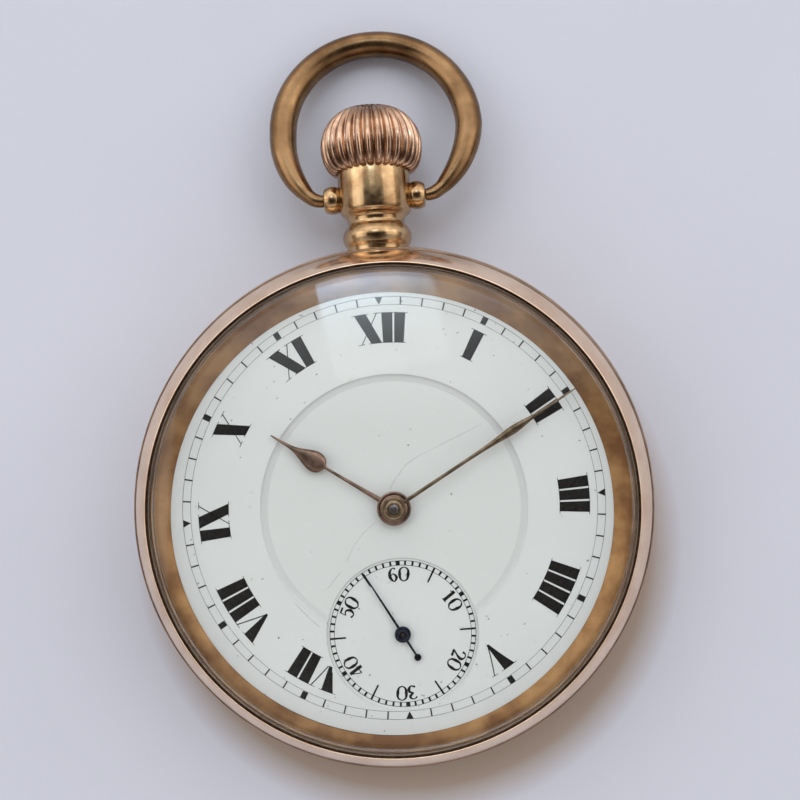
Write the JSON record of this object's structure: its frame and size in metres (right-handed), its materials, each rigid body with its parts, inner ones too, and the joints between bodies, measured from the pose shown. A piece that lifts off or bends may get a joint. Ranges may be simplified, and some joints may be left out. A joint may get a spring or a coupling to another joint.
{
  "type": "open face pocket watch",
  "caption": "Open face crown-wound pocket watch: round case with hinged covers, pendant, fluted crown and swinging bow, double-sunk dial with Roman hours and small seconds.",
  "frame": {"origin": "centre of the flat on the back cover, which rests on the table", "axes": "+Z out of the dial, +Y along the stem to the pendant at 12 o'clock, +X to 3 o'clock"},
  "size_m": [0.0512, 0.0743, 0.0126],
  "materials": {
    "rose_gold": "polished rose gold",
    "antique_gold": "polished, worn gold",
    "brass_ring": "brushed",
    "crystal_glass": "clear",
    "enamel": "gloss white enamel with black print",
    "enamel_centre": "gloss white enamel",
    "hand_copper": "tarnished rose gold",
    "hand_bronze": "tarnished gold",
    "blued_steel": "blued",
    "gilt_brass": "frosted gilt",
    "train_brass": "polished",
    "steel": "polished",
    "spring_steel": "blued spring",
    "ruby": "polished"
  },
  "bodies": {
    "case": {"case_band": "rose_gold", "pendant": "antique_gold", "rehaut_ring": "brass_ring", "back_hinge_pin": "antique_gold", "dust_hinge_pin": "antique_gold", "dial_ring": "enamel", "dial_centre": "enamel_centre", "dial_seconds": "enamel", "dial_feet": "hand_copper", "main_plate": "gilt_brass", "barrel_bridge": "gilt_brass", "train_bridge": "gilt_brass", "balance_cock": "gilt_brass", "pallet_cock": "gilt_brass", "jewels": "ruby", "bridge_screws": "steel", "case_screws": "steel", "setting_lever_screw": "steel", "yoke_spring": "spring_steel", "crown_wheel_screw": "steel", "click_spring": "spring_steel"},
    "bezel": {"bezel": "rose_gold", "crystal": "crystal_glass"},
    "back_cover": {"back_cover": "rose_gold"},
    "dust_cover": {"dust_cover": "antique_gold"},
    "bow": {"bow": "antique_gold"},
    "winding_pinion": {"winding_pinion": "steel"},
    "crown": {"crown": "rose_gold", "winding_stem": "steel"},
    "sliding_pinion": {"sliding_pinion": "steel"},
    "setting_lever": {"setting_lever": "steel"},
    "yoke": {"yoke": "steel"},
    "crown_wheel": {"crown_wheel": "steel"},
    "ratchet": {"ratchet_wheel": "steel", "ratchet_screw": "steel", "barrel_arbor": "steel"},
    "click": {"click": "steel"},
    "barrel": {"barrel": "train_brass", "barrel_lid": "train_brass", "mainspring": "spring_steel"},
    "centre": {"centre_wheel": "train_brass", "cannon_pinion": "steel", "minute_hand": "hand_bronze"},
    "third": {"third_wheel": "train_brass"},
    "fourth": {"fourth_wheel": "train_brass", "seconds_hand": "blued_steel"},
    "escape": {"escape_wheel": "steel"},
    "minute_wheel": {"minute_wheel": "train_brass"},
    "hour": {"hour_wheel": "train_brass", "hour_hand": "hand_copper"},
    "setting_wheel": {"setting_wheel": "steel"},
    "fork": {"pallet_fork": "steel"},
    "balance": {"balance_wheel": "train_brass", "roller_table": "steel", "hairspring": "spring_steel"},
    "regulator": {"regulator": "steel"}
  },
  "joints": [
    {"name": "bezel_lift", "type": "slide", "parent": "case", "child": "bezel", "axis": [0, 0, 1], "range_m": [0, 0.008]},
    {"name": "back_cover_hinge", "type": "hinge", "parent": "case", "child": "back_cover", "pos_m": [0, -0.0243, 0.003], "axis": [-1, 0, 0], "range_deg": [0, 95]},
    {"name": "dust_cover_hinge", "type": "hinge", "parent": "case", "child": "dust_cover", "pos_m": [0, -0.0222, 0.00175], "axis": [-1, 0, 0], "range_deg": [0, 77]},
    {"name": "bow_hinge", "type": "hinge", "parent": "case", "child": "bow", "pos_m": [0, 0.03065, 0.0052], "axis": [1, 0, 0], "range_deg": [-75, 105]},
    {"name": "crown_turn", "type": "hinge", "parent": "case", "child": "winding_pinion", "pos_m": [0, 0.016, 0.0052], "axis": [0, 1, 0], "continuous": true},
    {"name": "crown_pull", "type": "slide", "parent": "winding_pinion", "child": "crown", "axis": [0, 1, 0], "range_m": [0, 0.0007]},
    {"name": "sliding_pinion_slide", "type": "slide", "parent": "winding_pinion", "child": "sliding_pinion", "axis": [0, 1, 0], "range_m": [-0.0009, 0]},
    {"name": "setting_lever_pivot", "type": "hinge", "parent": "case", "child": "setting_lever", "pos_m": [-0.0034, 0.018, 0.0069], "axis": [0, 0, 1], "range_deg": [-0.5, 12.5]},
    {"name": "yoke_pivot", "type": "hinge", "parent": "case", "child": "yoke", "pos_m": [-0.0055, 0.01455, 0.0069], "axis": [0, 0, 1], "range_deg": [-10, 0.5]},
    {"name": "crown_wheel_turn", "type": "hinge", "parent": "case", "child": "crown_wheel", "pos_m": [0, 0.01301, 0.0029], "axis": [0, 0, 1], "continuous": true},
    {"name": "ratchet_turn", "type": "hinge", "parent": "case", "child": "ratchet", "pos_m": [0.00678, 0.00622, 0.0044], "axis": [0, 0, 1], "continuous": true},
    {"name": "click_pivot", "type": "hinge", "parent": "case", "child": "click", "pos_m": [0.01535, 0.00622, 0.0027], "axis": [0, 0, 1], "range_deg": [-6, 0]},
    {"name": "going_train", "type": "hinge", "parent": "case", "child": "centre", "pos_m": [0, 0, 0.0054], "axis": [0, 0, -1], "continuous": true},
    {"name": "barrel_turn", "type": "hinge", "parent": "case", "child": "barrel", "pos_m": [0.00678, 0.00622, 0.0044], "axis": [0, 0, -1], "continuous": true},
    {"name": "third_wheel_turn", "type": "hinge", "parent": "case", "child": "third", "pos_m": [0.00457, -0.00775, 0.0045], "axis": [0, 0, -1], "continuous": true},
    {"name": "fourth_wheel_turn", "type": "hinge", "parent": "case", "child": "fourth", "pos_m": [0, -0.0122, 0.0045], "axis": [0, 0, -1], "continuous": true},
    {"name": "escape_wheel_turn", "type": "hinge", "parent": "case", "child": "escape", "pos_m": [-0.0062, -0.01446, 0.0045], "axis": [0, 0, -1], "continuous": true},
    {"name": "minute_wheel_turn", "type": "hinge", "parent": "case", "child": "minute_wheel", "pos_m": [0, 0.0036, 0.007], "axis": [0, 0, -1], "continuous": true},
    {"name": "hour_wheel_turn", "type": "hinge", "parent": "case", "child": "hour", "pos_m": [0, 0, 0.0073], "axis": [0, 0, -1], "continuous": true},
    {"name": "setting_wheel_turn", "type": "hinge", "parent": "case", "child": "setting_wheel", "pos_m": [0, 0.00945, 0.0067], "axis": [0, 0, -1], "continuous": true},
    {"name": "balance_swing", "type": "hinge", "parent": "case", "child": "balance", "pos_m": [-0.01023, -0.00688, 0.0031], "axis": [0, 0, 1], "range_deg": [-270, 270], "stiffness_Nm_per_rad": 0.000007},
    {"name": "pallet_fork_swing", "type": "hinge", "parent": "case", "child": "fork", "pos_m": [-0.00788, -0.0113, 0.0042], "axis": [0, 0, 1], "range_deg": [-5, 5]},
    {"name": "regulator_turn", "type": "hinge", "parent": "case", "child": "regulator", "pos_m": [-0.01023, -0.00688, 0.0031], "axis": [0, 0, 1], "range_deg": [-15, 15]}
  ],
  "couplings": [
    {"joint": "dust_cover_hinge", "follows": "back_cover_hinge", "ratio": 0.8},
    {"joint": "sliding_pinion_slide", "follows": "crown_pull", "ratio": -1.2857},
    {"joint": "setting_lever_pivot", "follows": "crown_pull", "rad_per_m": 294},
    {"joint": "yoke_pivot", "follows": "crown_pull", "rad_per_m": -234},
    {"joint": "crown_wheel_turn", "follows": "crown_turn", "ratio": 0.66667},
    {"joint": "ratchet_turn", "follows": "crown_turn", "ratio": -0.28571},
    {"joint": "barrel_turn", "follows": "going_train", "ratio": -0.15},
    {"joint": "third_wheel_turn", "follows": "going_train", "ratio": -8},
    {"joint": "fourth_wheel_turn", "follows": "going_train", "ratio": 60},
    {"joint": "escape_wheel_turn", "follows": "going_train", "ratio": -600},
    {"joint": "minute_wheel_turn", "follows": "going_train", "ratio": -0.33333},
    {"joint": "hour_wheel_turn", "follows": "going_train", "ratio": 0.083333},
    {"joint": "setting_wheel_turn", "follows": "going_train", "ratio": 0.28571},
    {"joint": "pallet_fork_swing", "follows": "balance_swing", "ratio": 0.018519}
  ]
}
